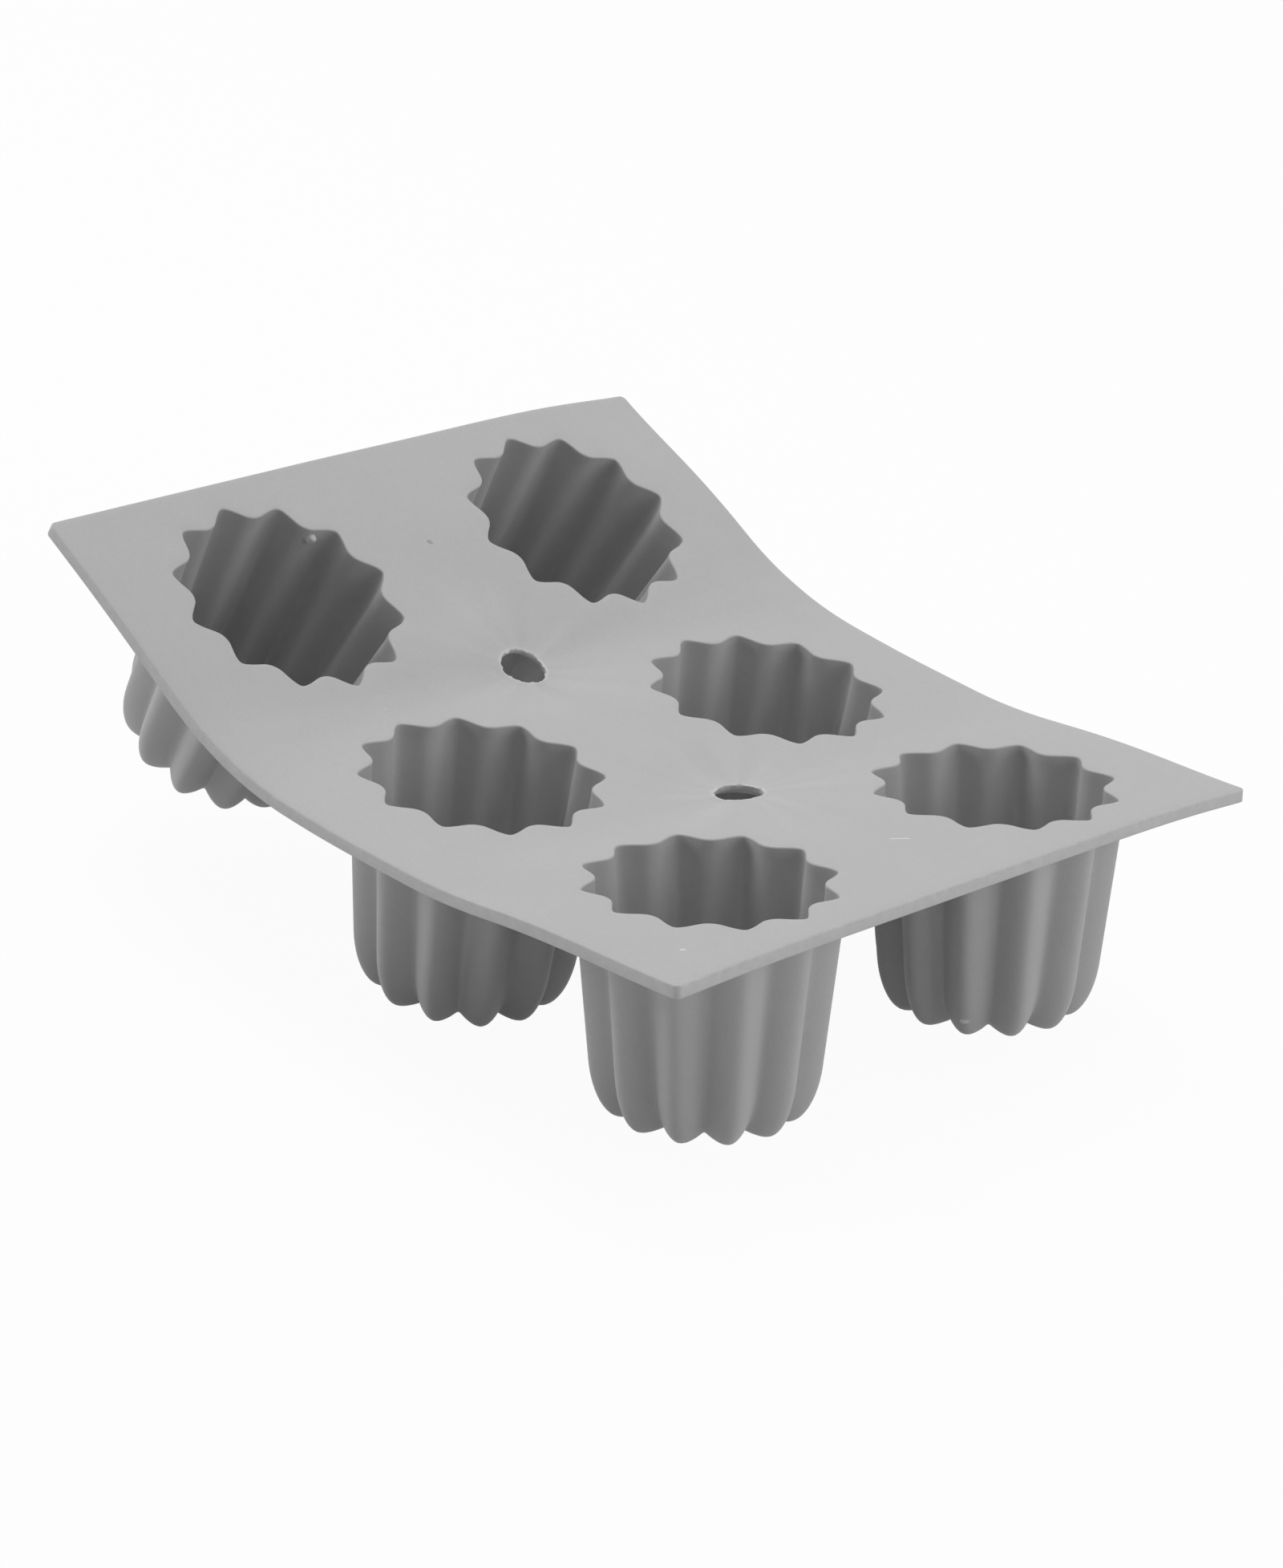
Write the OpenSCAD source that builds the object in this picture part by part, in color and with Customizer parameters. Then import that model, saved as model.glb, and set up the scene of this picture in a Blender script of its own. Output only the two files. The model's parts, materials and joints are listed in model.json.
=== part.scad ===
// Silicone baking mould for fluted cakes, two cups wide and three rows long.
// The middle row stands level. The front and rear rows are bent up from it.
// +X points to the front row, +Y to the right-hand cups and +Z up.
// The origin is under the middle of the whole bent mould, on the surface that it stands on.

/* [Deck] */
// Length of the deck, measured along its bent surface
deck_l = 210; // [200:1:240]
// Width of the deck
deck_w = 176; // [156:1:200]
// Thickness of the deck
deck_t = 3; // [2:0.1:5]
// Radius of the deck's four upright corners
corner_r = 1.5; // [0.5:0.1:5]

/* [Rows of cups] */
// Distance between the centres of two rows, measured along the deck
row_pitch = 70; // [67:0.5:76]
// Distance between the centres of the two cups in a row
cup_pitch = 88; // [72:0.5:100]
// Width of each strip of deck that bends between two rows
web_w = 11; // [10.6:0.1:14]
// How far the front row is bent up as the mould lies
front_bend = 9; // [2:0.5:30]
// How far the rear row is bent up as the mould lies
rear_bend = 23.5; // [2:0.5:30]
// Diameter of the hole in each bending strip
hang_hole_d = 10; // [6:0.1:10]
// Gap between a bending strip and the row that turns on it
turn_gap = 0.05; // [0.02:0.01:0.2]

/* [Cavity] */
// Number of flutes round a cavity
flutes = 12; // [8:1:14]
// Diameter across the tips of the flutes at the mouth
mouth_d = 55; // [50:0.5:56]
// Diameter across the tips at the depth of the floor, before the base is rounded
base_d = 46; // [42:0.5:50]
// Depth of the cavity from the top of the deck
cavity_depth = 49.5; // [40:0.5:60]
// Depth of a flute at the mouth
mouth_flute = 3.7; // [3:0.1:4.5]
// Depth of a flute near the floor
base_flute = 4.1; // [3:0.1:4.5]
// Radius of a flute's tip, inside the cavity
tip_r = 1.2; // [0.6:0.1:1.6]
// Radius of the ridge between two flutes, inside the cavity
ridge_r = 2.8; // [2.4:0.1:3.2]
// Height of the curve that draws the wall in to the floor
base_curve_h = 10; // [6:0.5:14]
// Width of the curve that draws the wall in to the floor
base_curve_w = 4; // [3:0.1:5]

/* [Wall and floor] */
// Thickness of a cup's wall
wall_t = 2; // [1.6:0.1:2.3]
// Thickness of a cup's floor
floor_t = 2; // [1.5:0.1:3]
// Width of the flat land between the flutes' grooves and the floor's flexing ring
rim_land = 1; // [0.5:0.1:2]
// Width of the ring that flexes round the disc in the middle of the floor
flex_w = 4; // [3:0.1:6]
// How far the middle of the floor lies above the rim that the cup stands on
floor_lift = 1; // [0.6:0.1:1.5]
// Gap round the disc that is pushed up to free a cake
disc_gap = 0.3; // [0.1:0.05:0.5]
// Gap between the flexing ring and the standing rim
ring_gap = 0.1; // [0.06:0.01:0.2]

/* [Hidden] */

// Colours as the photographed grey silicone shows them
deck_grey = [0.74, 0.74, 0.75];
cup_grey = [0.60, 0.60, 0.60];
floor_grey = [0.52, 0.52, 0.53];

// Rows and sides as signs along X and Y
FRONT = 1;
MIDDLE = 0;
REAR = -1;
LEFT = -1;
RIGHT = 1;

// Depth of a cup's standing rim below the top of the deck
cup_h = cavity_depth + floor_t;
// Distance from a row's centre to the strip that bends
panel_half = (row_pitch - web_w) / 2;
// Length of an end panel from its bending strip to the end of the deck
end_panel = deck_l / 2 - panel_half - web_w;
// Height of the middle of the deck's thickness over the surface below
mid_z = cup_h - deck_t / 2;
// Number of planes that make up a bent strip, and sides of a drilled hole
bend_steps = 8;
hole_sides = 64;
// Steps round a corner of the deck
corner_steps = 6;
// Steps of the curve at the base, outside and inside
outer_steps = 4;
inner_steps = 3;
// Room by which a cutter passes a face
cut = 1;

// Largest share of a flute's half width that its two roundings take up
round_share = 0.9;
// Radius of the round hole in a cup's standing rim, and of the disc in its floor
rim_hole_r = base_d / 2 - base_curve_w - base_flute - rim_land;
disc_r = rim_hole_r - flex_w;

// Bend of a row, and the radius of its strip at mid thickness
function bend(row) = row == FRONT ? front_bend : rear_bend;
function bend_r(row) = web_w / (bend(row) * PI / 180);

// Draft of the cavity, which starts under the deck
function depth_share(z) = (z - deck_t) / (cavity_depth - deck_t);
function cavity_tip(z) = mouth_d / 2 - (mouth_d - base_d) / 2 * depth_share(z);
function flute_depth(z) = mouth_flute + (base_flute - mouth_flute) * depth_share(z);

// One half flute from its tip to the ridge beside it: two arcs joined by a straight flank
function half_flute(tip, depth, tip_round, ridge_round, tip_steps, ridge_steps) =
    let (half = 180 / flutes,
         width = 2 * (tip - depth / 2) * sin(half / 2),
         fit = min(1, round_share * width / (tip_round + ridge_round)),
         r1 = fit * tip_round,
         r2 = fit * ridge_round,
         tip_c = [tip - r1, 0],
         ridge_c = (tip - depth + r2) * [cos(half), sin(half)],
         way = ridge_c - tip_c,
         turn = atan2(way.y, way.x) - acos((r1 + r2) / norm(way)))
    concat([for (k = [0:tip_steps])
                let (t = turn * k / tip_steps) tip_c + r1 * [cos(t), sin(t)]],
           [for (k = [0:ridge_steps])
                let (t = 180 + turn + (half - turn) * k / ridge_steps)
                ridge_c + r2 * [cos(t), sin(t)]]);

// The whole outline, flute by flute
function star(half) =
    let (last = len(half) - 1)
    [for (f = [0:flutes - 1], k = [0:2 * last - 1])
        let (a = 360 * f / flutes,
             p = k < last ? [half[last - k].x, -half[last - k].y] : half[k - last])
        [p.x * cos(a) - p.y * sin(a), p.x * sin(a) + p.y * cos(a)]];

function inner_star(tip, depth) = star(half_flute(tip, depth, tip_r, ridge_r, 1, 2));
function outer_star(tip, depth) =
    star(half_flute(tip, depth, tip_r + wall_t, ridge_r - wall_t, 2, 1));
function round_ring(r) = [for (p = inner_star(mouth_d / 2, mouth_flute)) r * p / norm(p)];
function at_depth(ring, z) = [for (p = ring) [p.x, p.y, -z]];

// Rings of the outside wall, from under the deck to the standing rim
outer_curve_h = base_curve_h + floor_t;
outer_curve_w = base_curve_w + wall_t / 2;
function outer_tip(z) = cavity_tip(z) + wall_t;
function outer_ring(z, inset) = at_depth(outer_star(outer_tip(z) - inset, flute_depth(z)), z);
function outer_rings() =
    concat([outer_ring(deck_t, 0)],
           [for (k = [0:outer_steps])
               let (t = 90 * k / outer_steps)
               outer_ring(cup_h - outer_curve_h * (1 - sin(t)), outer_curve_w * (1 - cos(t)))]);

// Rings of the cavity, from the floor up to the underside of the deck
function inner_ring(z, inset) = at_depth(inner_star(cavity_tip(z) - inset, flute_depth(z)), z);
function inner_rings() =
    concat([for (k = [inner_steps:-1:0])
               let (t = 90 * k / inner_steps)
               inner_ring(cavity_depth - base_curve_h * (1 - sin(t)), base_curve_w * (1 - cos(t)))],
           [inner_ring(deck_t, 0)]);

// A closed skin through a loop of rings, the last one joined to the first
module ring_loop(rings) {
    n = len(rings[0]);
    m = len(rings);
    points = [for (r = rings, p = r) p];
    faces = [for (i = [0:m - 1], j = [0:n - 1])
        let (a = i * n + j,
             b = i * n + (j + 1) % n,
             c = ((i + 1) % m) * n + (j + 1) % n,
             d = ((i + 1) % m) * n + j)
        each [[a, b, c], [a, c, d]]];
    polyhedron(points = points, faces = faces);
}

// Ends of the bent mould along X, which set the origin midway between them
function along_x(row, s, depth) =
    panel_half + bend_r(row) * sin(bend(row))
    + s * cos(bend(row)) + (depth - deck_t / 2) * sin(bend(row));
function cup_reach(row) =
    max([for (r = outer_rings()) along_x(row, panel_half + r[tip_point].x, -r[tip_point].z)]);
tip_point = len(half_flute(mouth_d / 2, mouth_flute, tip_r, ridge_r, 1, 2)) - 1;
function reach(row) = max(along_x(row, end_panel, deck_t), cup_reach(row));
shift_x = (reach(REAR) - reach(FRONT)) / 2;

// Placement on the middle of a row's deck top, with +Z along the row's own normal
module on_row(row) {
    translate([shift_x, 0, mid_z])
        if (row == MIDDLE)
            translate([0, 0, deck_t / 2]) children();
        else
            translate([row * (panel_half + bend_r(row) * sin(bend(row))), 0,
                       bend_r(row) * (1 - cos(bend(row)))])
                rotate([0, -row * bend(row), 0])
                    translate([row * panel_half, 0, deck_t / 2]) children();
}

module on_cup(row, side) {
    on_row(row) translate([0, side * cup_pitch / 2, 0]) children();
}

// The two fluted openings of a row, cut straight through the deck
module openings() {
    for (side = [LEFT, RIGHT])
        translate([0, side * cup_pitch / 2, -deck_t - cut])
            linear_extrude(deck_t + 2 * cut) polygon(inner_star(mouth_d / 2, mouth_flute));
}

// Half of the outline of an end panel's outer edge, with its rounded corner
function corner_arc(row, side) =
    [for (k = [0:corner_steps])
        let (t = 90 * k / corner_steps)
        [row * (end_panel - panel_half - corner_r + corner_r * sin(t)),
         side * (deck_w / 2 - corner_r + corner_r * cos(t))]];

module end_deck(row) {
    color(deck_grey) on_row(row) difference() {
        translate([0, 0, -deck_t]) linear_extrude(deck_t)
            polygon(concat([[-row * panel_half, -deck_w / 2], [-row * panel_half, deck_w / 2]],
                           corner_arc(row, RIGHT),
                           [for (k = [corner_steps:-1:0]) corner_arc(row, LEFT)[k]]));
        openings();
    }
}

module deck_front() {
    end_deck(FRONT);
}

module deck_rear() {
    end_deck(REAR);
}

module deck_middle() {
    color(deck_grey) on_row(MIDDLE) difference() {
        translate([-panel_half, -deck_w / 2, -deck_t]) cube([2 * panel_half, deck_w, deck_t]);
        openings();
    }
}

// A strip of the deck between two rows, bent to an even arc, with its hole
function arc_point(row, t, out) =
    [row * (panel_half + (bend_r(row) - out) * sin(t)), bend_r(row) - (bend_r(row) - out) * cos(t)];

module flex_web(row) {
    full = bend(row);
    swept = full * (1 - turn_gap / web_w);
    upper = [for (k = [0:bend_steps]) arc_point(row, swept * k / bend_steps, deck_t / 2)];
    lower = [for (k = [bend_steps:-1:0]) arc_point(row, swept * k / bend_steps, -deck_t / 2)];
    color(deck_grey) translate([shift_x, 0, mid_z]) difference() {
        rotate([90, 0, 0]) linear_extrude(deck_w, center = true) polygon(concat(upper, lower));
        translate([arc_point(row, full / 2, 0).x, 0, arc_point(row, full / 2, 0).y])
            rotate([0, -row * full / 2, 0])
                cylinder(h = deck_t + 2 * cut, d = hang_hole_d, center = true, $fn = hole_sides);
    }
}

module flex_web_front() {
    flex_web(FRONT);
}

module flex_web_rear() {
    flex_web(REAR);
}

// A fluted cup: wall, curved base and the standing rim with a round hole for its floor
module cup(row, side) {
    rim_under = [at_depth(round_ring(rim_hole_r), cup_h)];
    rim_over = [at_depth(round_ring(rim_hole_r), cavity_depth)];
    color(cup_grey) on_cup(row, side)
        ring_loop(concat(outer_rings(), rim_under, rim_over, inner_rings()));
}

// The thin ring that flexes when the floor is pushed up
module floor_ring(row, side) {
    color(floor_grey) on_cup(row, side) translate([0, 0, -cup_h]) rotate_extrude($fn = hole_sides)
        polygon([[disc_r + disc_gap, floor_lift],
                 [rim_hole_r - ring_gap, 0],
                 [rim_hole_r - ring_gap, floor_t],
                 [disc_r + disc_gap, floor_lift + floor_t]]);
}

// The disc in the middle of the floor, lifted clear of the standing rim
module push_floor(row, side) {
    color(floor_grey) on_cup(row, side) translate([0, 0, floor_lift - cup_h])
        cylinder(h = floor_t, r = disc_r, $fn = hole_sides);
}

deck_front();
deck_middle();
deck_rear();
flex_web_front();
flex_web_rear();
cup(FRONT, LEFT);  // cup_front_left
cup(FRONT, RIGHT);  // cup_front_right
cup(MIDDLE, LEFT);  // cup_middle_left
cup(MIDDLE, RIGHT);  // cup_middle_right
cup(REAR, LEFT);  // cup_rear_left
cup(REAR, RIGHT);  // cup_rear_right
floor_ring(FRONT, LEFT);  // floor_ring_front_left
floor_ring(FRONT, RIGHT);  // floor_ring_front_right
floor_ring(MIDDLE, LEFT);  // floor_ring_middle_left
floor_ring(MIDDLE, RIGHT);  // floor_ring_middle_right
floor_ring(REAR, LEFT);  // floor_ring_rear_left
floor_ring(REAR, RIGHT);  // floor_ring_rear_right
push_floor(FRONT, LEFT);  // push_floor_front_left
push_floor(FRONT, RIGHT);  // push_floor_front_right
push_floor(MIDDLE, LEFT);  // push_floor_middle_left
push_floor(MIDDLE, RIGHT);  // push_floor_middle_right
push_floor(REAR, LEFT);  // push_floor_rear_left
push_floor(REAR, RIGHT);  // push_floor_rear_right
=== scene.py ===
"""A silicone mould for fluted cakes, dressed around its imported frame.

The mould is one moulding that bends between its rows, so each row has one closed skin: deck, cups and
cavities together. The floors of the cups are skins of their own, because a thumb pushes them up.
"""
import json
import math

import bmesh
import bpy
import numpy as np
from mathutils import Matrix, Vector
from mathutils.geometry import delaunay_2d_cdt


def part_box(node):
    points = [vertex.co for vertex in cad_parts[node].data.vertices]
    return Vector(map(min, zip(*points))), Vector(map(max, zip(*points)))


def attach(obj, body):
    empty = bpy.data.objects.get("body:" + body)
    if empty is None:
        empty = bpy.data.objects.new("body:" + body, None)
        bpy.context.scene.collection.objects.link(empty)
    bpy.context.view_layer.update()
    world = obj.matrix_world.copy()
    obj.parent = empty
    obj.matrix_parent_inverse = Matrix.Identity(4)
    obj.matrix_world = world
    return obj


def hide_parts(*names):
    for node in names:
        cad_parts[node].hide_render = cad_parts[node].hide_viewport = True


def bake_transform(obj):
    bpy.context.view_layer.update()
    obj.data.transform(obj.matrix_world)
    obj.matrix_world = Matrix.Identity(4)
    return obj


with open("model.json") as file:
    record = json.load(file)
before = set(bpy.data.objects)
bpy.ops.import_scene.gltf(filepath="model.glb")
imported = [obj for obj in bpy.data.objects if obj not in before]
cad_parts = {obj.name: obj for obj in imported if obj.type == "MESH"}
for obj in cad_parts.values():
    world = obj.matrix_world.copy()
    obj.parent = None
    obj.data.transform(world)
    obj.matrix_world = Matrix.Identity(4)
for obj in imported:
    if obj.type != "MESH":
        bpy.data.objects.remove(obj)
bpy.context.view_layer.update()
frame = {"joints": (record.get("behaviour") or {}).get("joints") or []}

# Lengths are in millimetres here, and meshes are made in metres
MM = 0.001
sharp_from = math.radians(50)
FRONT, MIDDLE, REAR = 1, 0, -1
LEFT, RIGHT = -1, 1
ROW_NAMES = {FRONT: "front", MIDDLE: "middle", REAR: "rear"}
SIDE_NAMES = {LEFT: "left", RIGHT: "right"}

# The deck, as the frame gives it
panel_low, panel_high = (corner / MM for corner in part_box("deck_middle"))
shift_x = (panel_low.x + panel_high.x) / 2
panel_half = (panel_high.x - panel_low.x) / 2
deck_half = (panel_high.y - panel_low.y) / 2
deck_t = panel_high.z - panel_low.z
deck_top = panel_high.z
mid_z = deck_top - deck_t / 2
joints = {joint["name"]: joint for joint in frame["joints"]}


def rest_bend(row):
    """Angle by which a row is bent up at rest, from the way its floors are pushed."""
    push = joints[ROW_NAMES[row] + "_left_floor_push"]["axis"]
    return math.atan2(abs(push[0]), push[2])


bends = {row: rest_bend(row) for row in (FRONT, REAR)}
web_w = 11
row_pitch = 2 * panel_half + web_w
cup_pitch = 88
deck_l = 210
corner_r = 1.5
deck_end = deck_l / 2
edge_round = 0.35
edge_flat = 0.12
# How much paler the deck's edge is painted, from its top round to its underside
# Partly wear along its top, and mostly painted light: the edge face is painted brighter, as thin silicone
# lets light through
edge_wear_and_painted_light = (0, 0.4, 0.8, 0.8, 0.8, 0.6, 0.4, 0.2, 0, 0)

# The soft deck hangs unevenly, as it does in the photograph. Away from the cups it bends over a longer
# stretch, round its holes it sags and tilts, and its long edges sag. A reach gives the two distances
# between which an effect grows or fades.
free_spread = {FRONT: 24, REAR: 42}
free_reach = (10, 80)
hole_sag = 0.9
hole_sag_reach = (10, 50)
hole_tilt = 0.145
hole_tilt_reach = (7, 26)
cup_stiff_reach = (20, 56)
edge_sag = {LEFT: 2.9, RIGHT: 1.3}
edge_sag_middle = {LEFT: -15, RIGHT: 0}
edge_sag_reach = (0, 80)
edge_sag_from = 68
# How far each corner droops, and how far across the deck that starts
corner_droop = {(FRONT, LEFT): (1.0, 30), (FRONT, RIGHT): (1.5, 30), (REAR, RIGHT): (2.7, -20)}
corner_droop_from = 54
# How far each cup's mouth stands above its place in the frame, which the deck round it follows
cup_rise = {
    (FRONT, LEFT): 0.5, (FRONT, RIGHT): 0.5,
    (MIDDLE, LEFT): -0.8, (MIDDLE, RIGHT): -0.7,
    (REAR, LEFT): 0.1, (REAR, RIGHT): 0.8,
}
cup_rise_reach = (29, 50)
# How far two of the cups lean along the deck and across it, for each millimetre below the deck
cup_lean = {(MIDDLE, LEFT): (0.04, 0), (REAR, LEFT): (-0.018, 0.022)}

# A cup and its cavity, sized as in the part's source. Radii reach to the tips of the flutes, and the base
# is near the cavity's floor.
flutes = 12
points_per_flute = 24
mouth_r = 27.5
base_r = 22.88
cavity_depth = 49.5
mouth_flute = 3.7
base_flute = 4.1
# Thinner than in the source, as the outlines of the cups in the photograph show
wall_t = 1.3
floor_t = 2
cup_h = cavity_depth + floor_t
# The cavity's wall curves in over this height and width to meet its floor
curve_h = 10
curve_w = 4
rim_round = 0.45
# The floor's round hole in the standing rim, the disc that is pushed up, and how far its crown rises
rim_hole_r = 13.9
disc_r = 9.9
floor_lift = 1
skin_t = 0.25
floor_radii = (rim_hole_r, 13.4, 12.7, 11.9, 11.1, 10.4, disc_r, 8, 5, 2)
# Depths of a cup's rings below the deck's top, beside those of its curves, and how many the curves have
mouth_bend = 0.4
under_deck_depth = 3.4
wall_depths = (6, 12, 20, 28, 35)
rim_count = 5
floor_curve_count = 10
foot_count = 13
merge_gap = 0.01
# How a flute's outline is drawn: steepness of its flanks, roundness of its tip and of its ridge
INSIDE_FLUTE = (1.57, 0.134, 0.54)
OUTSIDE_FLUTE_MOUTH = (1.67, 0.325, 0.36)
OUTSIDE_FLUTE_BASE = (1.69, 0.47, 0.2)
# At the foot the grooves end higher than the ridges, which leaves a row of petals
petal_raise = 1.5
# The outside wall curves in over this height and by this much, and the floor is dished from below
foot_curve_h = 13
foot_inset = 5.6
foot_dish = 1.3

# The holes between the rows: the bore, its raised lip, and the dish under its thin web
hole_r = 5.4
hole_lip_r = 6.3
hole_dish_r = 8.6
hole_web_t = 1.2
tear_seed = {FRONT: 1.3, REAR: 2.9}

# Small marks, as distance along the deck, across it and above its top: ends, radius and change of shade
marks = (
    ((77.5, 2.8, 0), (80.0, 5.8, 0), 0.16, 0.5),
    ((92.7, -74.8, 0), (93.0, -74.4, 0), 0.3, 0.4),
    ((-74.7, 1.3, 0), (-74.4, 1.5, 0), 0.45, -0.3),
    ((81.5, 23.7, -46.8), (83.2, 24.6, -46.9), 0.5, 0.5),
)
# How far out a mark fades, in its own radii
mark_soft = 1.6
# A blob of silicone left on the wall of the rear left cavity, in degrees round the cup
nib_turn = 130
nib_depth = 2.8
nib_r = 1.35
nib_uneven = 0.12
# The blob is painted pale: a painted highlight, where it sits in the cavity's shade
nib_painted_highlight = 1.8
# How far down the flank of a flute it sits, from the flute's tip
nib_share = 0.8

# Pale streaks round each hole: the distances over which they fade, and how much of the noise is left out
streak_reach = (6, 42)
streak_cut = 0.42
# Specks of pale dust and dark dots: noise scale, largest radius in cells, and how few of the cells have one
dust_specks = (95.0, 0.035, 0.9)
dark_dots = (31.0, 0.02, 0.9)
dust_colour = (0.85, 0.85, 0.83, 1)
dot_colour = (0.10, 0.10, 0.10, 1)
roughness = 0.60
# Noise for the fine grain, the cloudy mottling and the patches: scale, detail and roughness
grain_noise = (1900.0, 3.0, 0.7)
cloud_noise = (38.0, 4.0, 0.55)
patch_noise = (420.0, 2.0, 0.5)
# How much lighter pale places get, between these two levels of the patches
pale_patches = (0.35, 0.62)
pale_gain = (0.19, 0.27)

# Where a row's skin starts and ends its turn about the bend, along the deck
blend_span = (30.2, 40.4)

# The seam between two skins, which passes the cups on one side and a hole on the other
seam_at_cups = 30
seam_at_hole = 25
seam_turn = (9, 15)

# Numbers of points along the deck's edges and seams
seam_count = 89
row_side_count = 38
row_end_count = 87
corner_count = 7
edge_count = 4
hole_count = 128
middle_side_count = 31
# Gaps between the points spread over the deck, and the clear space that they keep to its outlines
loose_gap = 3
loose_gap_at_bend = 1.5
loose_gap_across = 2.9
loose_gap_least = 0.55
loose_beside_seam = 0.9
loose_start = 1.5
loose_clear = 0.7
bend_reach = (24, 48)


def smooth(x, low, high):
    """0 below low, 1 above high and an even turn between them."""
    t = np.clip((np.asarray(x, float) - low) / (high - low), 0, 1)
    return t * t * (3 - 2 * t)


def ramp(x, low, high):
    """0 below low, then steeper and steeper up to 1 at high."""
    return np.clip((np.asarray(x, float) - low) / (high - low), 0, 1) ** 2


def cup_distance(s, y):
    """Distance along the deck from the middle of the nearest cup."""
    along = np.abs(s)
    nearest = np.where(along < row_pitch / 2, 0, row_pitch)
    return np.hypot(along - nearest, np.abs(y) - cup_pitch / 2)


def cup_axis(row, side, w):
    """Places along and across the deck of a cup's axis, at height w above the deck's top."""
    below = np.clip(-np.asarray(w, float) - deck_t, 0, None)
    along, across = cup_lean.get((row, side), (0, 0))
    return row * row_pitch + along * below, side * cup_pitch / 2 + across * below


def rise(along, bend, spread):
    """Height of an evenly bent strip over the corner that its two straight sides would make."""
    inside = np.clip(spread / 2 - along, 0, None)
    return bend * inside ** 2 / (2 * spread)


def lift(s, y, w):
    """Height of the soft mould over the frame's straight panels and short bends."""
    total = np.zeros(np.broadcast(s, y).shape)
    for row in (FRONT, REAR):
        outward = s * row - row_pitch / 2
        along = np.abs(outward)
        softer = rise(along, bends[row], free_spread[row]) - rise(along, bends[row], web_w)
        total += np.where(s * row > 0, softer, 0) * smooth(np.abs(y), *free_reach)
        from_hole = np.hypot(outward, y)
        total -= hole_sag * (1 - smooth(from_hole, *hole_sag_reach))
        total += hole_tilt * outward * (1 - smooth(from_hole, *hole_tilt_reach))
    for (row, side), (droop, start) in corner_droop.items():
        total -= droop * smooth(s * row, corner_droop_from, deck_end) * ramp(y * side, start, deck_half)
    total *= smooth(cup_distance(s, y), *cup_stiff_reach)
    for side, sag in edge_sag.items():
        beside = 1 - smooth(np.abs(s - edge_sag_middle[side]), *edge_sag_reach)
        total -= sag * ramp(y * side, edge_sag_from, deck_half) * beside
    # The middle row's cups stand on their feet, and the other rows' ends are held where they are
    standing = np.clip(1 + w / cup_h, 0, 1)
    for (row, side), risen in cup_rise.items():
        gap = np.hypot(s - row * row_pitch, y - side * cup_pitch / 2)
        held = standing if row == MIDDLE else 1 - smooth(s * row, row_pitch, deck_end)
        total += risen * (1 - smooth(gap, *cup_rise_reach)) * held
    return total


def place(s, y, w):
    """Points in metres from distance s along the deck, y across it and w above its top."""
    s, y, w = (np.asarray(v, float) for v in (s, y, w))
    front = s > 0
    bend = np.where(front, bends[FRONT], bends[REAR])
    radius = web_w / bend
    way = np.abs(s)
    turn = np.clip(way - panel_half, 0, web_w) / radius
    past = np.clip(way - panel_half - web_w, 0, None)
    h = w + deck_t / 2
    out = np.minimum(way, panel_half) + radius * np.sin(turn) + past * np.cos(turn) - h * np.sin(turn)
    up = mid_z + radius * (1 - np.cos(turn)) + past * np.sin(turn) + h * np.cos(turn) + lift(s, y, w)
    return np.stack([shift_x + np.where(front, out, -out), y, up], axis=-1) * MM


# The camera that took the photograph, worked out from the tips of the flutes and the deck's corners
camera_at = Vector((695.8, -753.3, 540.7)) * MM
camera_forward = Vector((-0.6055, 0.6629, -0.4405))
camera_up = Vector((-0.4012, 0.2237, 0.8882))
focal_px = 6395
long_side_px = 1955
sensor_mm = 36

# Lamps as place in metres, size in metres and watts
lamps = {
    "overhead_softbox": ((0, 0, 1.3), (0.9, 0.9), 6.2),
    "rear_softbox": ((-0.8, 0.2, 1.1), (0.9, 0.9), 6.0),
    "side_softbox": ((1.1, 0.6, 0.6), (1.4, 1.0), 7.4),
    "left_softbox": ((-1.1, -0.8, 0.45), (0.8, 0.6), 6.2),
}
lamp_aim = (0, 0, 0.03)
ambient_light = 0.16
stage_half = 3.0
stage_drop = 0.0002
stage_grey = 0.78
# Share of white in the floor as the camera sees it, with the mould's shadow in the rest
stage_white = 0.95


def make_camera():
    """The photograph's own view, in plain colours."""
    data = bpy.data.cameras.new("photo_camera")
    data.sensor_fit = "AUTO"
    data.sensor_width = sensor_mm
    data.lens = sensor_mm * focal_px / long_side_px
    data.clip_start = 0.01
    data.clip_end = 20
    camera = bpy.data.objects.new("photo_camera", data)
    bpy.context.collection.objects.link(camera)
    forward = camera_forward.normalized()
    right = forward.cross(camera_up).normalized()
    up = right.cross(forward)
    turned = Matrix((right, up, -forward)).transposed().to_4x4()
    camera.matrix_world = Matrix.Translation(camera_at) @ turned
    bpy.context.scene.camera = camera
    bpy.context.scene.view_settings.view_transform = "Standard"


def area_light(name, at, size, watts):
    """A white rectangular lamp that points at the mould."""
    data = bpy.data.lights.new(name, "AREA")
    data.shape = "RECTANGLE"
    data.size, data.size_y = size
    data.energy = watts
    light = bpy.data.objects.new(name, data)
    bpy.context.collection.objects.link(light)
    light.location = at
    light.rotation_euler = (Vector(lamp_aim) - Vector(at)).to_track_quat("-Z", "Y").to_euler()


class Nodes:
    """A short way to build a node tree: add a node, set its inputs and link it."""

    def __init__(self, tree):
        self.tree = tree

    def add(self, kind, inputs=None, **settings):
        node = self.tree.nodes.new(kind)
        for key, value in settings.items():
            setattr(node, key, value)
        for key, value in (inputs or {}).items():
            self.put(node.inputs[key], value)
        return node

    def put(self, socket, value):
        if isinstance(value, bpy.types.NodeSocket):
            self.tree.links.new(value, socket)
        else:
            socket.default_value = value

    def maths(self, operation, *values):
        node = self.add("ShaderNodeMath", operation=operation)
        for socket, value in zip(node.inputs, values):
            self.put(socket, value)
        return node.outputs[0]


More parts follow.
